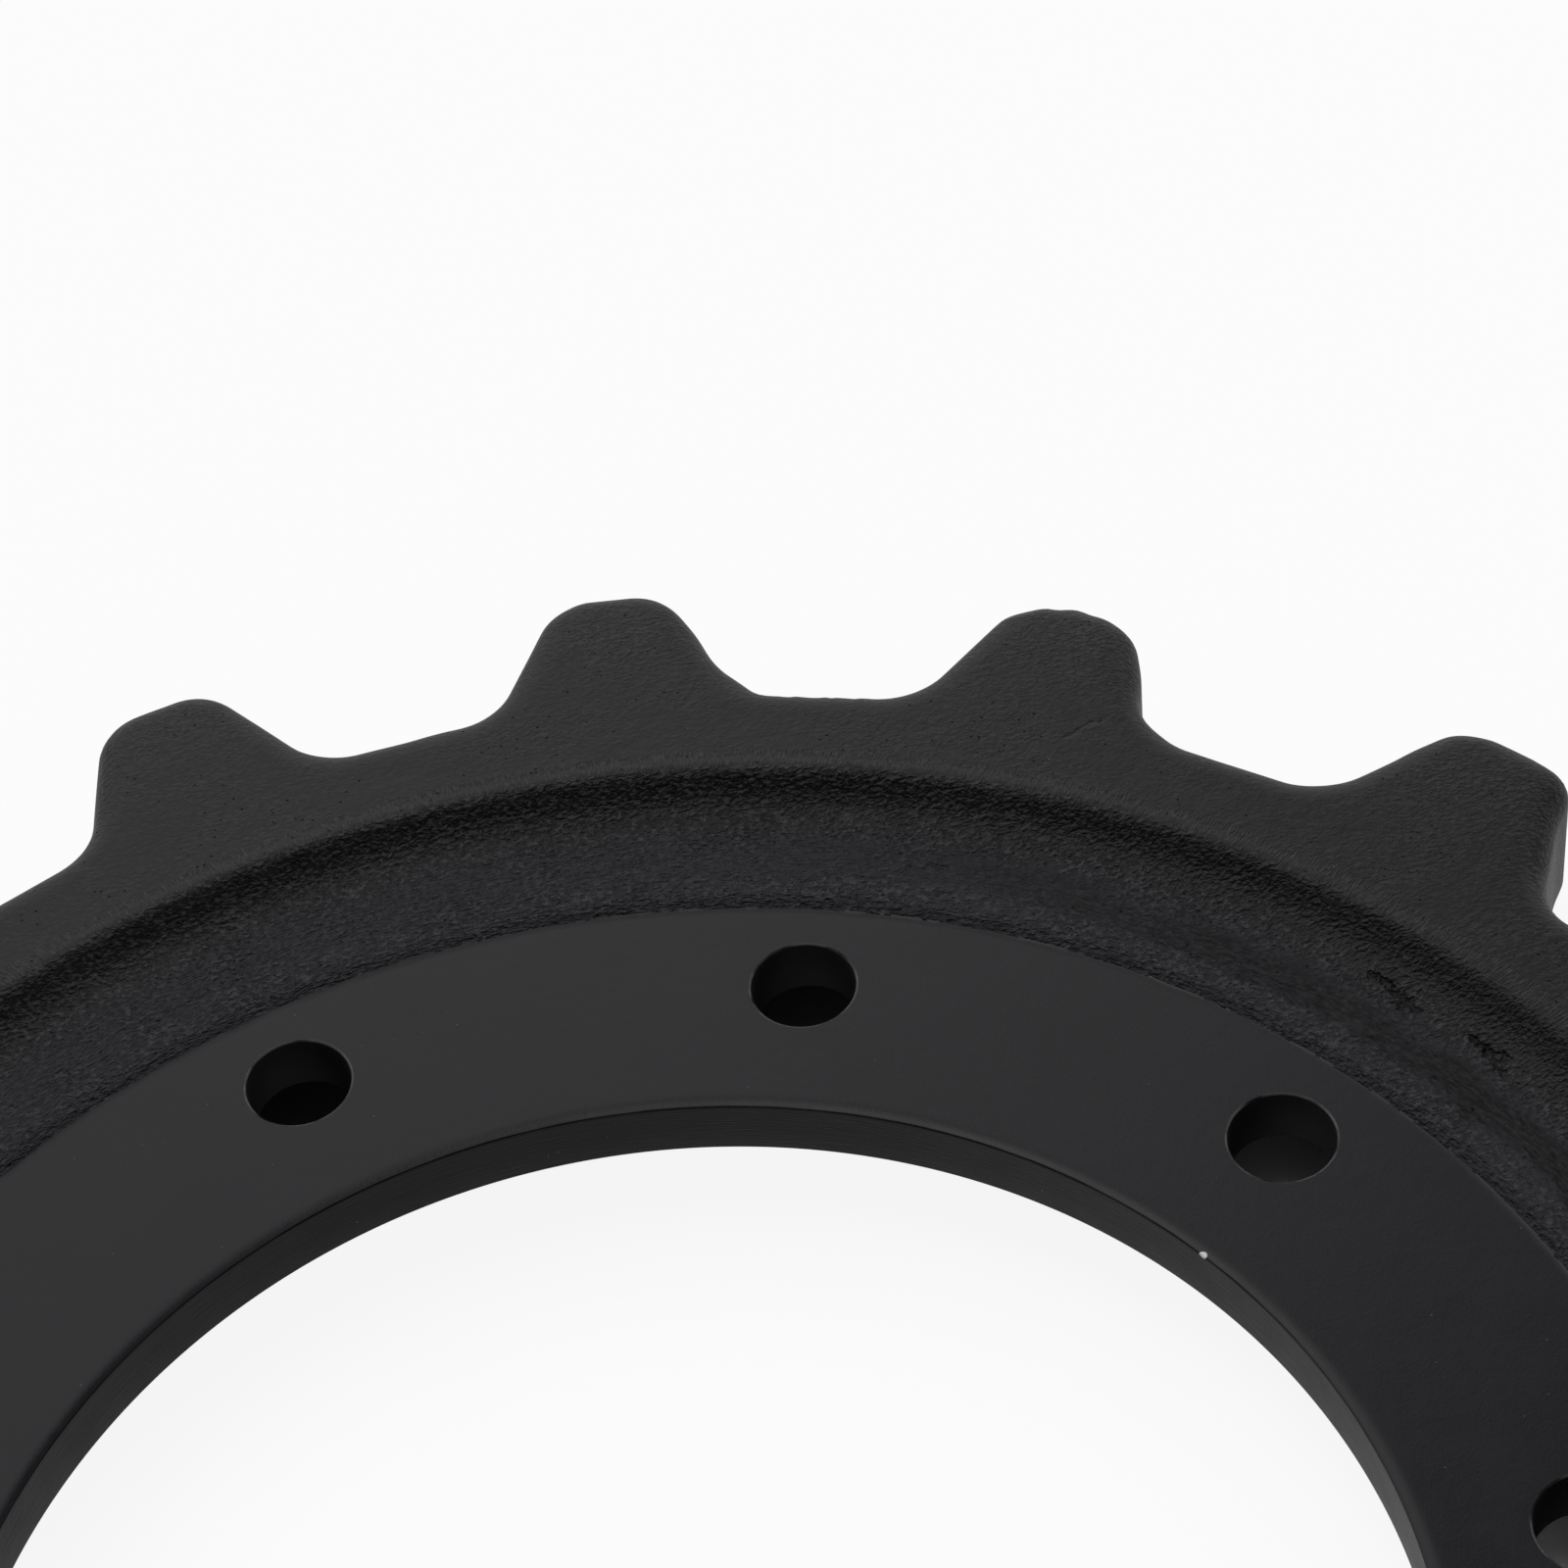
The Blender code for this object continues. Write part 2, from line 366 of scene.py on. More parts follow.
def bore_rows():
    """The bore wall up to the machined face, with the worn round edge and its shallow bevel."""
    bevel = math.radians(15)
    edge = 0.00034
    strip = 0.0022
    rows = [(BORE_R, FACE_Z - 0.0060), (BORE_R, FACE_Z - 0.0012)]
    drop = 0.5 * strip * math.tan(bevel)
    edge_steps, strip_steps = 4, 5
    for i in range(edge_steps + 1):
        a = (math.pi / 2 - bevel) * i / edge_steps
        rows.append((BORE_R + edge - edge * math.cos(a), FACE_Z - drop - edge + edge * math.sin(a)))
    start = rows[-1][0]
    for i in range(1, strip_steps + 1):
        t = i / strip_steps
        rows.append((start + strip * t, FACE_Z - drop * (1 - t) ** 2))
    rows.append((start + strip * 1.4, FACE_Z))
    return rows


def hole_rows():
    """One bolt hole down its wall, with its small worn chamfers, as (radius, height)."""
    edge = 0.00046
    return [
        (HOLE_R + edge, FACE_Z),
        (HOLE_R + 0.35 * edge, FACE_Z - 0.45 * edge),
        (HOLE_R, FACE_Z - 1.1 * edge),
        (HOLE_R, BACK_Z + edge),
        (HOLE_R + edge, BACK_Z),
    ]


def plate(verts, inner, outer, holes, up):
    """Triangles over a flat ring with round holes. The loops are runs of places in verts."""
    loops = [inner, outer] + holes  # The outer loop is number 1.
    picked = [i for loop in loops for i in loop]
    flat = [Vector(verts[i][:2]) for i in picked]
    edges, at = [], 0
    for loop in loops:
        edges += [(at + i, at + (i + 1) % len(loop)) for i in range(len(loop))]
        at += len(loop)
    _, _, faces, source, _, _ = geometry.delaunay_2d_cdt(flat, edges, [], 1, 1e-7)
    owner = [k for k, loop in enumerate(loops) for _ in loop]
    made = []
    for face in faces:
        # A triangle with all its corners on one loop lies in the bore or in a bolt hole, unless
        # that loop is the outer one.
        owners = {owner[source[i][0]] for i in face}
        if len(owners) == 1 and 1 not in owners:
            continue
        corners = [picked[source[i][0]] for i in face]
        made.append(corners if up else corners[::-1])
    return made


def casting_mesh():
    """Rings of one point a column, from the bore over the front and the flanks to the back."""
    columns = outline()
    tree = kdtree.KDTree(len(columns))
    for i, column in enumerate(columns):
        tree.insert((column[0][0], column[0][1], 0), i)
    tree.balance()
    rings = []
    last_bore_ring = len(bore_rows()) - 1

    def circle_ring(r, z, cast=0.0, wobble=0.0):
        """A ring about the axis: cast is the height of its lumps, wobble how far it wanders."""
        ring = []
        for _, _, theta in columns:
            radius = r
            if wobble:
                wander = round_noise(theta, 22, 7.7) + 0.6 * round_noise(theta, 75, 1.7)
                radius += wobble * wander
            x, y = radius * math.cos(theta), radius * math.sin(theta)
            h = z
            if cast:
                h -= SAG * sagged(theta, radius)
                lumps = 0.6 * cast_noise(x, y, 0.014, 3.1) + 0.4 * cast_noise(x, y, 0.005, 8.2)
                h += cast * lumps
            for at, turn, length, width, depth in TORN:
                along = (theta - math.radians(turn)) * at
                if cast and abs(along) < length and abs(radius - at) < width:
                    h -= depth * bump(along, 0.0, length) * bump(radius, at, width)
            ring.append((x, y, min(h, cad_hi.z - INSIDE)))
        return ring

    for r, z in bore_rows():
        rings.append(circle_ring(r, z))
    for r, z, kind in dish_rows():
        if kind == "edge":
            rings.append(circle_ring(r, z, wobble=STEP_WOBBLE))
        elif kind == "dish":
            settle = smooth(MACHINED_R + 0.001, MACHINED_R + 0.004, r)
            lumps = 0.00006 + 0.00007 * settle
            rings.append(circle_ring(r, z, cast=lumps, wobble=STEP_WOBBLE * (1 - settle)))
        elif kind == "wall":
            rings.append(circle_ring(r, z, cast=0.00007 if z < CREST_Z - 0.0003 else 0.00003))
        else:
            rings.append(circle_ring(r, z, cast=0.00003))
    inner = rings[-1]

    def face_height(x, y):
        """Height of the domed tooth face, from the distance to the outline and the hollows."""
        _, _, d = tree.find((x, y, 0))
        h = TOOTH_Z - DOME * math.exp(-max(0.0, d - CROWN_R) / DOME_FADE)
        for cx, cy, size, depth in DENTS:
            away = math.hypot(x - cx, y - cy) / size
            h -= depth * bump(away, 0.0, 1.0)
        return h

    # The tooth face, drawn between the inner circle and the outline set in by the crown.
    face_steps, crown_steps, back_crown_steps = 6, 9, 4
    for i in range(1, face_steps + 1):
        t = i / face_steps
        ring = []
        for (p, n, _), q in zip(columns, inner):
            x = q[0] + (p[0] - n[0] * CROWN_R - q[0]) * t
            y = q[1] + (p[1] - n[1] * CROWN_R - q[1]) * t
            ring.append((x, y, face_height(x, y) + 0.00004 * cast_noise(x, y, 0.013, 4.4)))
        rings.append(ring)
    shoulder = TOOTH_Z - DOME
    lead = math.radians(3)

    def crowned(a, side):
        """One ring of the crown: a is 0 at the face and a quarter turn at the flank."""
        ring = []
        depth = CROWN_R * (1 - math.sin(a))
        h = CROWN_R * (1 - math.cos(a))
        for p, n, _ in columns:
            out = ragged(math.atan2(p[1], p[0]), math.hypot(*p)) * math.sin(a)
            x = p[0] + n[0] * (out - depth)
            y = p[1] + n[1] * (out - depth)
            x = max(cad_lo.x + INSIDE, min(cad_hi.x - INSIDE, x))
            y = max(cad_lo.y + INSIDE, min(cad_hi.y - INSIDE, y))
            ring.append((x, y, shoulder - h if side > 0 else h))
        return ring

    for i in range(1, crown_steps + 1):
        rings.append(crowned(lead + (math.pi / 2 - lead) * i / crown_steps, 1))
    rings.append([(x, y, MIDDLE_Z) for x, y, _ in crowned(math.pi / 2, 1)])
    for i in range(back_crown_steps + 1):
        rings.append(crowned(math.pi / 2 * (1 - i / back_crown_steps), -1))
    for r, z in back_rows():
        rings.append(circle_ring(r, z))

    count = len(columns)
    verts = [v for ring in rings for v in ring]
    faces = []
    # The bolt holes go through the two bands after these rings, so plates close them instead.
    back_ring = len(rings) - 4
    for i in range(len(rings)):
        if i in (last_bore_ring, back_ring):
            continue
        a, b = i * count, ((i + 1) % len(rings)) * count
        for j in range(count):
            m = (j + 1) % count
            faces.append((a + j, b + j, b + m, a + m))
    tops, backs = [], []
    steps = HOLE_STEPS
    for k in range(HOLES):
        cx, cy = turned_around((HOLE_CIRCLE, 0), 2 * math.pi * k / HOLES)
        base = len(verts)
        rows = hole_rows()
        for r, z in rows:
            for i in range(steps):
                a = 2 * math.pi * i / steps
                verts.append((cx + r * math.cos(a), cy + r * math.sin(a), z))
        for row in range(len(rows) - 1):
            for i in range(steps):
                m = (i + 1) % steps
                a, b = base + row * steps, base + (row + 1) * steps
                faces.append((a + i, a + m, b + m, b + i))
        tops.append(list(range(base, base + steps)))
        backs.append(list(range(base + (len(rows) - 1) * steps, base + len(rows) * steps)))

    def ring_of(i):
        return list(range(i * count, (i + 1) * count))

    faces += plate(verts, ring_of(last_bore_ring), ring_of(last_bore_ring + 1), tops, True)
    faces += plate(verts, ring_of(back_ring + 1), ring_of(back_ring), backs, False)
    mesh = bpy.data.meshes.new("sprocket_casting")
    mesh.from_pydata(verts, [], faces)
    mesh.validate()
    mesh.update()
    mesh.shade_smooth()
    mesh.set_sharp_from_angle(angle=math.radians(33))
    return mesh


def make_casting():
    piece = bpy.data.objects.new("sprocket_casting", casting_mesh())
    bpy.context.scene.collection.objects.link(piece)
    return piece


# The materials


# Heights of the lumps and of the grain over them, in tenths of a millimetre.
LEATHER = 4.6
GRAIN = 3.8

# Advance of the facing tool in one turn, in metres.
TOOL_FEED = 0.00046

# Paint: two tones of it, and what it becomes in each place, with painted shade and painted
# highlights where light falls on it.
SKIN_TONES = ((0.0035, 0.0034, 0.0052, 1.0), (0.0043, 0.0041, 0.0060, 1.0))
FACED_TONES = ((0.0036, 0.0034, 0.0056, 1.0), (0.0044, 0.0041, 0.0064, 1.0))
BORE_PAINTED_SHADE_AND_REFLECTION = ((0.0004, 0.0004, 0.0004, 1.0), (0.0085, 0.0085, 0.0078, 1.0))
DISH_FLOOR = (0.0037, 0.0031, 0.0070, 1.0)
DISH_WALL = (0.0030, 0.0029, 0.0034, 1.0)
SWEPT_BAND_PAINTED_SHADE = (0.0012, 0.0011, 0.0022, 1.0)
ONE_SIDE_PAINTED_SHADE = (0.0012, 0.0012, 0.0022, 1.0)
RUBBED_AND_PAINTED_HIGHLIGHT = (0.0270, 0.0260, 0.0300, 1.0)
CREST_PAINTED_HIGHLIGHT = (0.0270, 0.0265, 0.0300, 1.0)
SAND = (0.0400, 0.0385, 0.0440, 1.0)
HOLLOW_PAINTED_SHADE = (0.0008, 0.0008, 0.0010, 1.0)
PITS_PAINTED_SHADE = (0.0014, 0.0014, 0.0018, 1.0)
HOLE_WALL_PAINTED_SHADE = (0.0016, 0.0016, 0.0015, 1.0)
RIM_PAINTED_HIGHLIGHT = (0.11, 0.11, 0.115, 1.0)
CHIP = (0.72, 0.72, 0.70, 1.0)
CHIP_AT = (0.09622, 0.06336, 0.0256)
SKIN_DUST = (0.30, 0.30, 0.30, 1.0)
FACED_DUST = (0.34, 0.34, 0.34, 1.0)
SKIN_PLAIN = (0.0038, 0.0037, 0.0055, 1.0)
FACED_PLAIN = (0.0040, 0.0038, 0.0060, 1.0)


class Nodes:
    """Short names for building a node tree."""

    def __init__(self, tree):
        self.tree = tree
        tree.nodes.clear()

    def add(self, kind, inputs=None, **settings):
        node = self.tree.nodes.new(kind)
        for key, value in settings.items():
            setattr(node, key, value)
        for key, value in (inputs or {}).items():
            self.set(node, key, value)
        return node

    def set(self, node, key, value):
        socket = node.inputs[key]
        if isinstance(value, bpy.types.NodeSocket):
            self.tree.links.new(value, socket)
        else:
            socket.default_value = value

    def math(self, operation, *values):
        node = self.add("ShaderNodeMath", operation=operation)
        for i, value in enumerate(values):
            self.set(node, i, value)
        return node.outputs[0]

    def times(self, value, *factors):
        for factor in factors:
            value = self.math("MULTIPLY", value, factor)
        return value

    def plus(self, value, *parts):
        for part in parts:
            value = self.math("ADD", value, part)
        return value

    def minus(self, a, b):
        return self.math("SUBTRACT", a, b)

    def length(self, a, b):
        return self.math("SQRT", self.plus(self.times(a, a), self.times(b, b)))

    def ramp(self, x, lo, hi, to_lo=0.0, to_hi=1.0):
        """A smooth step from to_lo to to_hi as x goes from lo to hi."""
        inputs = {"Value": x, "From Min": lo, "From Max": hi, "To Min": to_lo, "To Max": to_hi}
        node = self.add("ShaderNodeMapRange", inputs, interpolation_type="SMOOTHSTEP")
        return node.outputs["Result"]

    def fade(self, x, lo, hi):
        """A smooth step from one down to zero."""
        return self.ramp(x, lo, hi, 1.0, 0.0)

    def band(self, x, rise, fall):
        """One between two soft edges, each given as where it starts and ends."""
        return self.times(self.ramp(x, *rise), self.fade(x, *fall))

    def noise(self, vector, scale, detail=2.0, rough=0.5):
        inputs = {"Vector": vector, "Scale": scale, "Detail": detail, "Roughness": rough}
        node = self.add("ShaderNodeTexNoise", inputs, noise_dimensions="3D")
        return node.outputs[0]

    def centred(self, vector, scale, detail, rough=0.5):
        """Noise about zero."""
        return self.minus(self.noise(vector, scale, detail, rough), 0.5)

    def mix(self, factor, a, b):
        node = self.add("ShaderNodeMix", data_type="RGBA")
        self.set(node, 0, factor)
        self.set(node, 6, a)
        self.set(node, 7, b)
        return node.outputs[2]

    def split(self, vector):
        return self.add("ShaderNodeSeparateXYZ", {"Vector": vector}).outputs

    def joined(self, x, y, z):
        return self.add("ShaderNodeCombineXYZ", {"X": x, "Y": y, "Z": z}).outputs[0]

    def vector(self, operation, *values):
        node = self.add("ShaderNodeVectorMath", operation=operation)
        for i, value in enumerate(values):
            self.set(node, i, value)
        return node.outputs["Value" if operation in ("DOT_PRODUCT", "DISTANCE") else "Vector"]


def polar(n):
    """Object coordinates, the height, the distance from the axis and the angle round it."""
    place = n.add("ShaderNodeTexCoord").outputs["Object"]
    x, y, z = n.split(place)
    return place, z, n.length(x, y), n.math("ARCTAN2", y, x)


def new_material(name):
    material = bpy.data.materials.new(name)
    material.use_nodes = True
    return material, Nodes(material.node_tree)


def painted(n, colour, roughness, specular, height):
    """The paint's shader and its relief, whose height is in tenths of a millimetre."""
    relief = n.add("ShaderNodeBump", {"Strength": 1.0, "Distance": 0.0001, "Height": height})
    inputs = {"Base Color": colour, "Roughness": roughness, "Specular IOR Level": specular}
    shader = n.add("ShaderNodeBsdfPrincipled", inputs)
    n.set(shader, "Normal", relief.outputs[0])
    n.add("ShaderNodeOutputMaterial", {"Surface": shader.outputs[0]})


def dust_on(n, place, scale, share, size):
    """Specks of pale dust, each of its own strength."""
    cells = n.add("ShaderNodeTexVoronoi", {"Vector": place, "Scale": scale, "Randomness": 1.0})
    pick = n.add("ShaderNodeSeparateColor", {"Color": cells.outputs["Color"]})
    return n.times(
        n.fade(cells.outputs["Distance"], 0.4 * size, size),
        n.math("GREATER_THAN", pick.outputs[1], 1 - share),
        n.ramp(pick.outputs[2], 0.0, 1.0, 0.15, 1.0),
    )


def cast_skin():
    """Satin black paint over leathery sand grain."""
    material, n = new_material("satin_black_cast_skin")
    place, z, radius, angle = polar(n)

    # Marks that run round the dish, left by the sweep that cut the mould.
    along = n.joined(n.times(angle, 90.0), n.times(radius, 1900.0), n.times(z, 400.0))
    sweep = n.centred(along, 1.0, 2.0, 0.6)

    # Where the grain is coarse: full in the wall of the dish, less on its floor, little on the
    # teeth. The back has the grain of the floor and the teeth.
    front = n.ramp(z, 0.0200, 0.0230)
    wall = n.times(n.band(radius, (0.1725, 0.1800), (0.1860, 0.1872)), front)
    floor_zone = n.fade(radius, 0.1730, 0.1785)
    outer = n.ramp(radius, 0.1868, 0.1884)
    rounded = n.times(n.fade(z, 0.0304, 0.0317), outer)
    patch_noise = n.noise(place, 70.0, 1.0, 0.5)
    patch = n.ramp(patch_noise, 0.38, 0.62)
    foot = n.times(n.band(radius, (0.1730, 0.1752), (0.1778, 0.1800)), front)
    beside_step = n.band(radius, (0.1600, 0.1612), (0.1640, 0.1660))
    # The sweep left the middle of the floor smooth, and on one side a painted shade makes it dark.
    shaky = n.plus(radius, n.times(sweep, 0.0034), n.times(n.minus(patch_noise, 0.5), 0.0070))
    smooth_band = n.times(
        n.band(shaky, (0.1636, 0.1664), (0.1708, 0.1744)), n.fade(angle, 0.70, 1.45)
    )
    one_side = n.fade(angle, 0.50, 1.30)
    on_floor = n.times(
        floor_zone, n.minus(1.0, n.times(smooth_band, 0.65)), n.plus(0.40, n.times(patch, 0.55))
    )
    on_teeth = n.plus(0.18, n.times(patch, 0.14), n.ramp(radius, 0.2040, 0.2250, 0.0, 0.26))
    coarse = n.plus(
        n.times(wall, 1.1),
        n.times(foot, 0.35),
        n.times(beside_step, 0.20),
        on_floor,
        n.times(rounded, 0.85),
        n.times(n.minus(outer, rounded), on_teeth),
    )

    # Rounded lumps with sharp valleys between them, and a finer grain over them.
    drawn = n.vector("MULTIPLY", place, (0.66, 1.0, 1.0))
    leather = n.math("ABSOLUTE", n.centred(drawn, 780.0, 1.0, 0.55))
    grain = n.centred(drawn, 1400.0, 2.0, 0.65)
    height = n.plus(
        n.times(leather, coarse, LEATHER),
        n.times(grain, n.plus(coarse, 0.06), GRAIN),
        n.times(n.centred(place, 260.0, 1.0), 0.9),
    )

    # The sweep's marks over the floor, twice as deep at the torn edge beside the facing cut.
    step = n.fade(radius, 0.1600, 0.1618)
    swept = n.times(sweep, n.plus(n.times(floor_zone, 4.4), n.times(step, 4.4)))
    height = n.plus(height, swept)

    # Fine streaks drawn across the crest of the ridge.
    across = n.joined(n.times(angle, 540.0), n.times(radius, 420.0), 0.0)
    crest = n.times(n.band(radius, (0.1860, 0.1872), (0.1893, 0.1912)), front)
    streak = n.centred(across, 1.0, 1.0, 0.6)
    height = n.plus(height, n.times(streak, crest, 3.6))

    # Small pits where gas left the sand, mostly in clusters.
    cell = n.add("ShaderNodeTexVoronoi", {"Vector": place, "Scale": 760.0, "Randomness": 1.0})
    crowd = n.plus(n.ramp(patch_noise, 0.52, 0.64, 0.0, 0.36), 0.06)
    chance = n.add("ShaderNodeSeparateColor", {"Color": cell.outputs["Color"]}).outputs[0]
    pick = n.math("GREATER_THAN", n.plus(chance, crowd), 1.0)
    pit = n.ramp(cell.outputs["Distance"], 0.05, 0.23, 3.0, 0.0)
    pitted = n.times(pit, pick, n.minus(1.0, wall))
    height = n.minus(height, pitted)

    # Torn places at the foot of the wall, and long shallow scars on the dish and one tooth.
    shake = n.times(n.centred(place, 430.0, 2.0, 0.65), 5.0)

    def tear(r0, a0, length, width, lean, depth):
        """A scar at a radius and an angle in degrees. Half length and half width are in mm."""
        across_mm = n.times(n.minus(radius, r0), 1000.0)
        along_mm = n.times(n.minus(angle, math.radians(a0)), r0 * 1000.0)
        v = n.math("ABSOLUTE", n.plus(across_mm, n.times(along_mm, lean), shake))
        u = n.math("ABSOLUTE", along_mm)
        return n.times(n.ramp(v, 0.0, width, depth, 0.0), n.fade(u, 0.7 * length, length))

    torn = n.plus(
        tear(0.1772, 37.9, 5.6, 0.90, -0.10, 7.0),
        tear(0.1758, 36.3, 3.0, 0.70, 0.25, 4.0),
        tear(0.1776, 31.2, 5.0, 0.95, 0.18, 7.0),
        tear(0.1764, 30.4, 3.6, 1.10, -0.25, 5.0),
        tear(0.2034, 59.7, 3.4, 1.20, 1.15, 1.0),
        tear(0.1702, 65.3, 3.0, 0.30, 0.10, 1.2),
        tear(0.1642, 64.6, 3.2, 0.28, 0.20, 1.2),
        tear(0.1668, 112.0, 8.0, 0.30, 0.12, 1.2),
    )
    height = n.minus(height, torn)

    dust = dust_on(n, place, 300.0, 0.14, 0.055)
    tone = n.ramp(n.noise(place, 38.0, 2.0, 0.6), 0.3, 0.7)
    colour = n.mix(tone, *SKIN_TONES)
    rough_skin = n.math("MINIMUM", n.times(coarse, 1.6), 1.0)
    colour = n.mix(n.times(rough_skin, floor_zone, 0.8), colour, DISH_FLOOR)
    colour = n.mix(wall, colour, DISH_WALL)
    # Painted shade: the smooth band of the floor is darker on one side.
    colour = n.mix(n.times(smooth_band, 0.7), colour, SWEPT_BAND_PAINTED_SHADE)
    # Painted shade: everything outward of the ridge is darker on one side.
    colour = n.mix(n.times(outer, one_side, 0.6), colour, ONE_SIDE_PAINTED_SHADE)
    # The lumps are lighter than the hollows between them, partly from rubbed paint and partly as a
    # painted highlight, which is held back on one side of the wall and at its foot.
    strength = n.math("MINIMUM", n.times(coarse, 1.05), 1.0)
    lumps = n.plus(grain, n.times(leather, 0.5))
    crown = n.ramp(lumps, 0.01, 0.21)
    hollow_shade = n.fade(lumps, -0.12, 0.03)
    less_lightened = n.math("MAXIMUM", n.times(wall, one_side, 0.6), n.times(foot, 0.5))
    colour = n.mix(n.times(crown, strength, n.minus(1.0, less_lightened)), colour, RUBBED_AND_PAINTED_HIGHLIGHT)
    # Paler sand shows at the foot of the wall and beside the step.
    sandy = n.math("MAXIMUM", foot, n.times(beside_step, 0.6))
    colour = n.mix(n.times(n.ramp(grain, 0.02, 0.20), sandy, 0.85), colour, SAND)
    # Painted shade in the hollows between the lumps.
    colour = n.mix(n.times(hollow_shade, strength), colour, HOLLOW_PAINTED_SHADE)
    # A painted highlight along the streaks on the crest of the ridge.
    colour = n.mix(n.times(n.ramp(streak, 0.02, 0.18), crest, 0.75), colour, CREST_PAINTED_HIGHLIGHT)
    colour = n.mix(n.times(dust, 0.5), colour, SKIN_DUST)
    # Painted shade in the torn places and the pits.
    pinch = n.math("MINIMUM", n.plus(n.times(torn, 0.10), n.times(pitted, 0.30)), 0.8)
    colour = n.mix(pinch, colour, PITS_PAINTED_SHADE)
    gloss = n.plus(
        0.36,
        n.times(n.minus(1.0, outer), 0.02),
        n.times(rounded, 0.14),
        n.times(smooth_band, n.plus(0.22, n.times(sweep, 1.1))),
        n.times(pinch, 0.30),
        n.times(dust, 0.20),
        n.times(grain, 0.12),
    )
    painted(n, colour, gloss, 0.172, height)
    material.diffuse_color = SKIN_PLAIN
    return material


def faced_paint(name, specular, roughness):
    """The same paint on the faced ring, the bore and the bolt holes, over the tool's marks."""
    material, n = new_material(name)
    place, z, radius, angle = polar(n)
    in_bore = n.fade(radius, BORE_R + 0.00012, BORE_R + 0.00030)

    # Distance from the nearest bolt hole's axis.
    fold = 2 * math.pi / HOLES
    local = n.minus(n.math("FLOORED_MODULO", n.plus(angle, fold / 2), fold), fold / 2)
    sideways = n.times(radius, n.math("SINE", local))
    outward = n.minus(n.times(radius, n.math("COSINE", local)), HOLE_CIRCLE)
    hole_r = n.length(sideways, outward)
    in_hole = n.fade(hole_r, HOLE_R + 0.00008, HOLE_R + 0.00020)

    turning = n.math("SINE", n.times(radius, 2 * math.pi / TOOL_FEED))
    ribs = n.joined(n.times(angle, 14.0), 0.0, n.times(z, 2600.0))
    height = n.plus(
        n.times(turning, 0.008),
        n.times(n.centred(place, 420.0, 1.0), 0.16),
        n.times(n.centred(place, 1700.0, 1.0), 0.14),
        n.times(n.centred(ribs, 1.0, 1.0, 0.6), in_bore, 0.6),
    )

    # A painted highlight on the rims of the bolt holes.
    rim = n.times(
        n.band(
            hole_r,
            (HOLE_R + 0.00010, HOLE_R + 0.00022),
            (HOLE_R + 0.00042, HOLE_R + 0.00056),
        ),
        n.ramp(z, FACE_Z - 0.0008, FACE_Z - 0.0005),
        n.ramp(n.noise(place, 160.0, 2.0, 0.6), 0.34, 0.56),
    )
    # One bright chip on the lip of the bore, from the distance to its middle in millimetres.
    chip = n.times(n.vector("DISTANCE", place, CHIP_AT), 1000.0)
    chip = n.plus(chip, n.times(n.centred(place, 900.0, 2.0), 0.6))
    chip = n.fade(chip, 0.50, 0.75)
    dust = dust_on(n, place, 320.0, 0.26, 0.060)
    tone = n.ramp(n.noise(place, 38.0, 2.0, 0.6), 0.3, 0.7)
    colour = n.mix(tone, *FACED_TONES)
    # The bore wall gets a painted shade on its left side and a painted reflection, lighter, on its
    # right.
    colour = n.mix(in_bore, colour, n.mix(n.ramp(n.split(place)[0], -0.06, 0.03), *BORE_PAINTED_SHADE_AND_REFLECTION))
    # Painted shade on the walls of the bolt holes.
    colour = n.mix(in_hole, colour, HOLE_WALL_PAINTED_SHADE)
    # The painted highlight on the hole rims.
    colour = n.mix(n.times(rim, 0.75), colour, RIM_PAINTED_HIGHLIGHT)
    colour = n.mix(n.times(dust, 0.6), colour, FACED_DUST)
    colour = n.mix(chip, colour, CHIP)
    gloss = n.plus(
        roughness,
        n.times(in_hole, 0.42),
        n.times(dust, 0.20),
        n.ramp(n.noise(place, 120.0, 2.0, 0.5), 0.3, 0.7, -0.02, 0.02),
    )
    painted(n, colour, gloss, specular, height)
    material.diffuse_color = FACED_PLAIN
    return material


def pale_floor_material():
    """White paper, lit from within as a light table is wherever the part doesn't cover it."""
    material, n = new_material("pale_floor")
    x, y, _ = n.split(n.add("ShaderNodeTexCoord").outputs["Object"])
    radius = n.length(x, y)
    bare = n.math("MAXIMUM", n.fade(radius, 0.130, 0.136), n.ramp(radius, 0.200, 0.206))
    # Under the part the paper gets a painted shadow, darker on one side, and the walls of the bolt
    # holes are darker too.
    shade = n.band(radius, (0.131, 0.137), (0.198, 0.204))
    under = n.ramp(x, 0.02, 0.15, 0.14, 0.98)
    tone = n.plus(PAPER, n.times(shade, n.minus(under, PAPER)))
    path = n.add("ShaderNodeLightPath").outputs
    seen = n.math("MAXIMUM", path["Is Camera Ray"], path["Is Glossy Ray"])
    seen = n.math("MAXIMUM", seen, path["Is Transmission Ray"])
    grey = n.add("ShaderNodeCombineColor", {"Red": tone, "Green": tone, "Blue": tone})
    paper = n.add("ShaderNodeBsdfDiffuse", {"Color": grey.outputs[0]})
    white = n.add("ShaderNodeEmission", {"Color": (1.0, 1.0, 1.0, 1.0), "Strength": 1.0})
    share = n.times(seen, bare, WHITE_SHARE)
    both = n.add("ShaderNodeMixShader", {0: share, 1: paper.outputs[0], 2: white.outputs[0]})
    n.add("ShaderNodeOutputMaterial", {"Surface": both.outputs[0]})
    return material


# The studio


# Grey of the floor's paper, and how much of what the camera sees of it is plain white.
PAPER = 0.92
WHITE_SHARE = 0.90
FLOOR_RINGS = (0.3, 1.0, 4.0, 14.0)
FLOOR_STEPS = 48

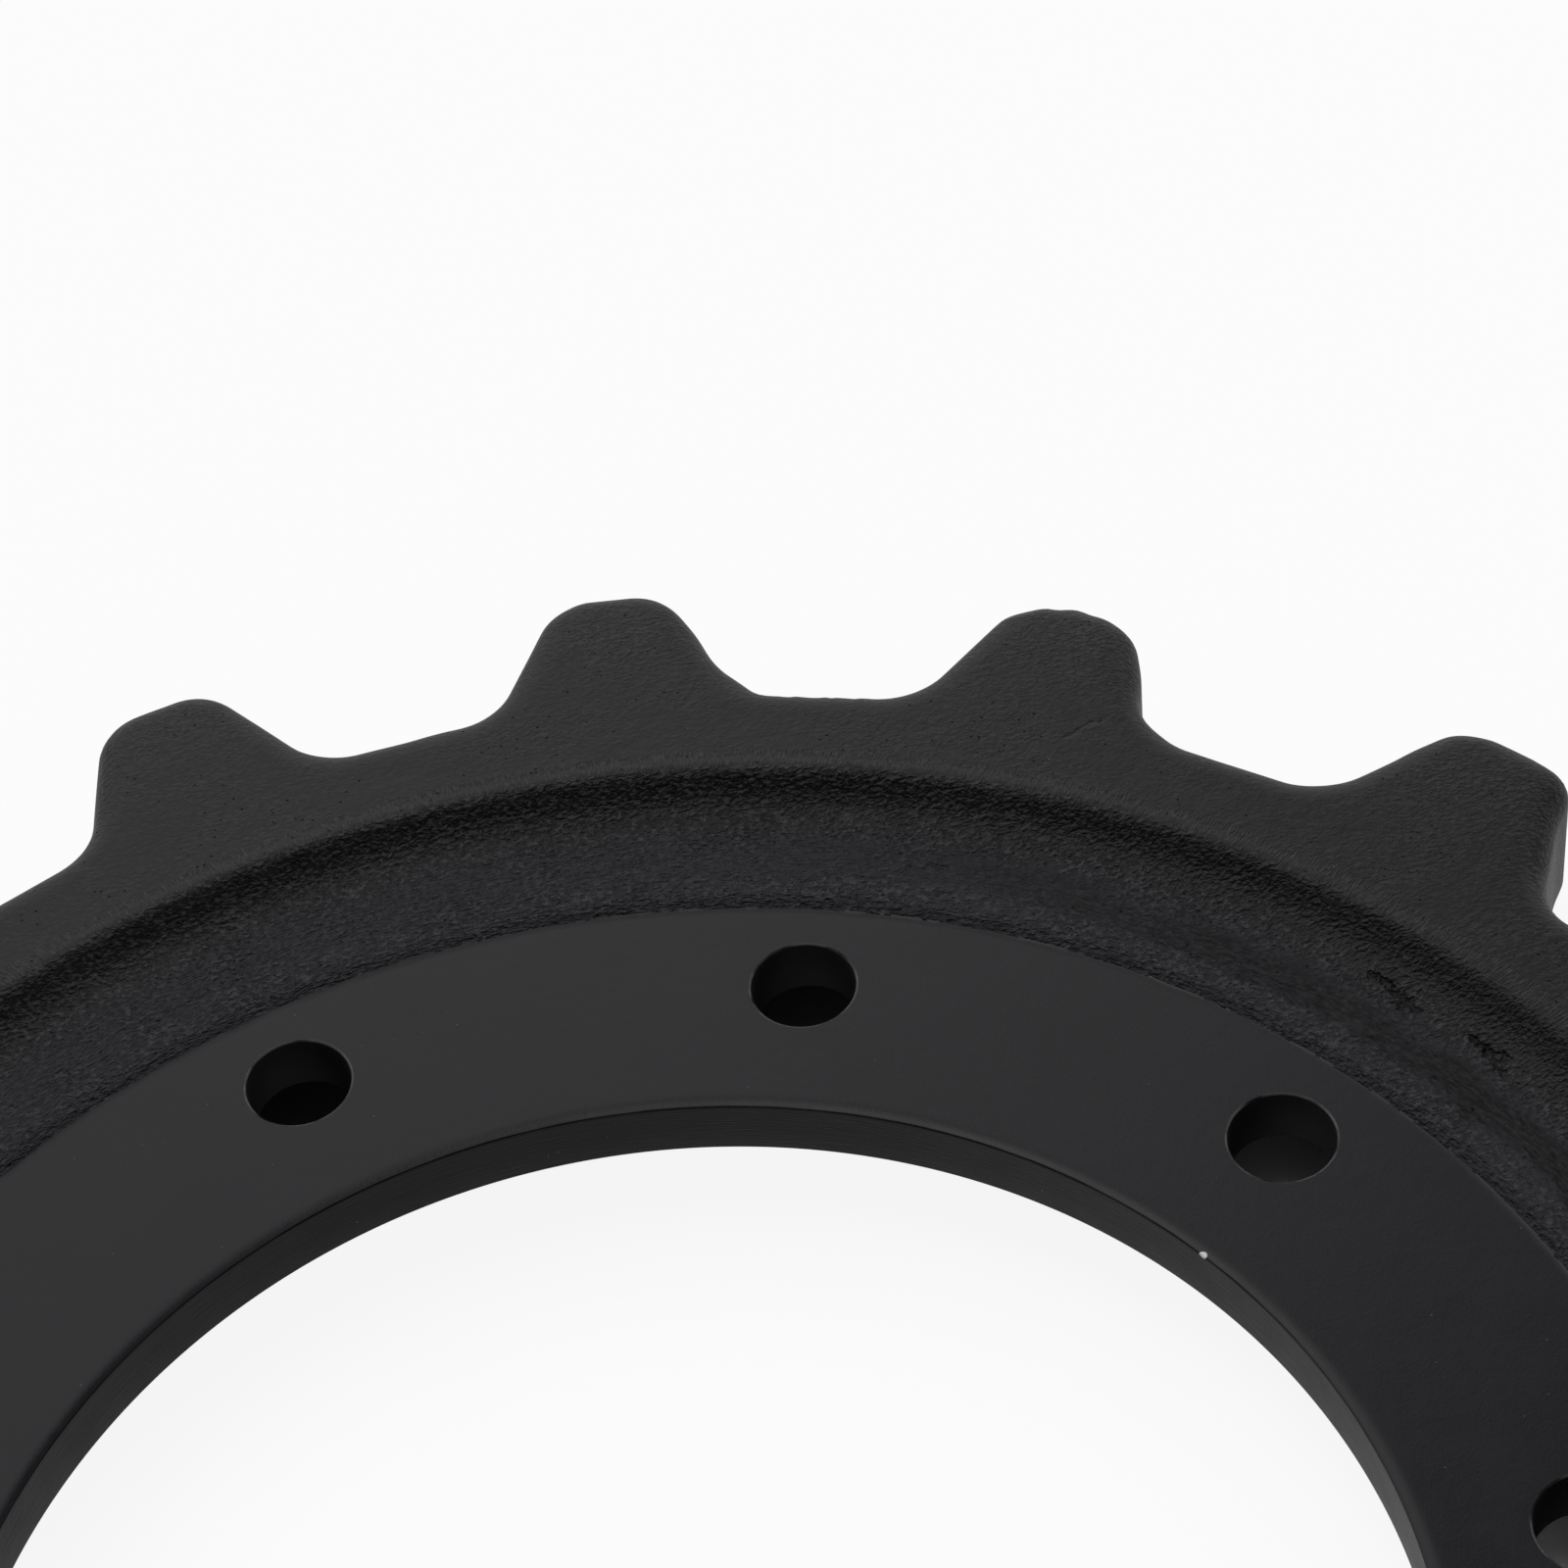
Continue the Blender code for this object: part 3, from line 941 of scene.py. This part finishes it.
# Patches of the dome: azimuth, elevation, where the soft edge starts and ends, all in degrees,
# and the share that is taken away or the strength that is added.
DIMMED = (
    (-165, 42, 30, 52, 0.93),
    (-112, 34, 22, 44, 0.94),
    (38, 67, 6, 21, 0.95),
    (32, 61, 2, 16, 0.80),
    (118, 32, 28, 50, 0.80),
    (25, 43, 3, 16, 0.40),
)
LIT = (
    (-40, 73, 6, 21, 1.7),
    (4, 36, 4, 18, 0.6),
    (11, 55, 2, 9, 0.25),
)

# The camera that was fitted to the bore's edge, the bolt holes and the outline of the teeth.
CAMERA_AT = (-0.003094, -0.369262, 0.630784)
CAMERA_RIGHT = Vector((0.980436, -0.180045, -0.079558))
CAMERA_DOWN = Vector((-0.186341, -0.718712, -0.669873))
CAMERA_AHEAD = Vector((0.063428, 0.671592, -0.738201))
CAMERA_LENS = 105.806


def unit(azimuth, elevation):
    """A direction: azimuth 0 is +Y and 90 is +X, in degrees."""
    a, e = math.radians(azimuth), math.radians(elevation)
    return (math.sin(a) * math.cos(e), math.cos(a) * math.cos(e), math.sin(e))


def make_world():
    """A soft studio dome: bright behind and on the left, dim in front and high on the right."""
    world = bpy.data.worlds.new("studio")
    bpy.context.scene.world = world
    world.use_nodes = True
    n = Nodes(world.node_tree)
    look = n.vector("NORMALIZE", n.add("ShaderNodeTexCoord").outputs["Generated"])

    def toward(azimuth, elevation, inner, outer, strength):
        """A soft-edged patch: full inside inner degrees from its middle, none past outer."""
        dot = n.vector("DOT_PRODUCT", look, unit(azimuth, elevation))
        dot = n.math("MINIMUM", n.math("MAXIMUM", dot, -1.0), 1.0)
        away = n.times(n.math("ARCCOSINE", dot), 180 / math.pi)
        return n.ramp(away, inner, outer, strength, 0.0)

    light = n.ramp(n.split(look)[2], 0.05, 0.45, 0.80, 1.55)
    for patch in DIMMED:
        light = n.times(light, n.minus(1.0, toward(*patch)))
    for patch in LIT:
        light = n.plus(light, toward(*patch))
    background = n.add("ShaderNodeBackground", {"Color": (1.0, 1.0, 1.0, 1.0), "Strength": light})
    n.add("ShaderNodeOutputWorld", {"Surface": background.outputs[0]})


def make_floor():
    """A wide round sheet just under the part."""
    verts, faces = [(0.0, 0.0, 0.0)], []
    steps = FLOOR_STEPS
    for r in FLOOR_RINGS:
        for i in range(steps):
            a = 2 * math.pi * i / steps
            verts.append((r * math.cos(a), r * math.sin(a), 0.0))
    for i in range(steps):
        faces.append((0, 1 + i, 1 + (i + 1) % steps))
    for k in range(len(FLOOR_RINGS) - 1):
        a, b = 1 + k * steps, 1 + (k + 1) * steps
        for i in range(steps):
            m = (i + 1) % steps
            faces.append((a + i, b + i, b + m, a + m))
    mesh = bpy.data.meshes.new("floor")
    mesh.from_pydata(verts, [], faces)
    mesh.update()
    floor = bpy.data.objects.new("floor", mesh)
    floor.location.z = cad_lo.z - 0.0001
    bpy.context.scene.collection.objects.link(floor)
    mesh.materials.append(pale_floor_material())


def make_camera():
    data = bpy.data.cameras.new("camera")
    camera = bpy.data.objects.new("camera", data)
    bpy.context.scene.collection.objects.link(camera)
    turn = Matrix((CAMERA_RIGHT, -CAMERA_DOWN, -CAMERA_AHEAD)).transposed()
    camera.matrix_world = Matrix.Translation(CAMERA_AT) @ turn.to_4x4()
    data.sensor_width = 36.0
    data.lens = CAMERA_LENS
    data.clip_start = 0.01
    data.clip_end = 60.0
    bpy.context.scene.camera = camera


def paint(mesh):
    """Cast skin all over, except on the faced ring with its bolt holes, and in the bore."""
    mesh.materials.append(cast_skin())
    mesh.materials.append(faced_paint("satin_black_faced", specular=0.20, roughness=0.27))
    mesh.materials.append(faced_paint("satin_black_bore", specular=0.09, roughness=0.44))
    for face in mesh.polygons:
        radius = math.hypot(face.center.x, face.center.y)
        if radius < MACHINED_R + 0.0001 and face.center.z > BACK_Z - 0.0001:
            face.material_index = 2 if radius < BORE_R + 0.00010 else 1


make_camera()
make_world()
make_floor()
casting = make_casting()
paint(casting.data)
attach(casting, "root")
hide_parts("sprocket")

bpy.context.scene.view_settings.view_transform = "Standard"
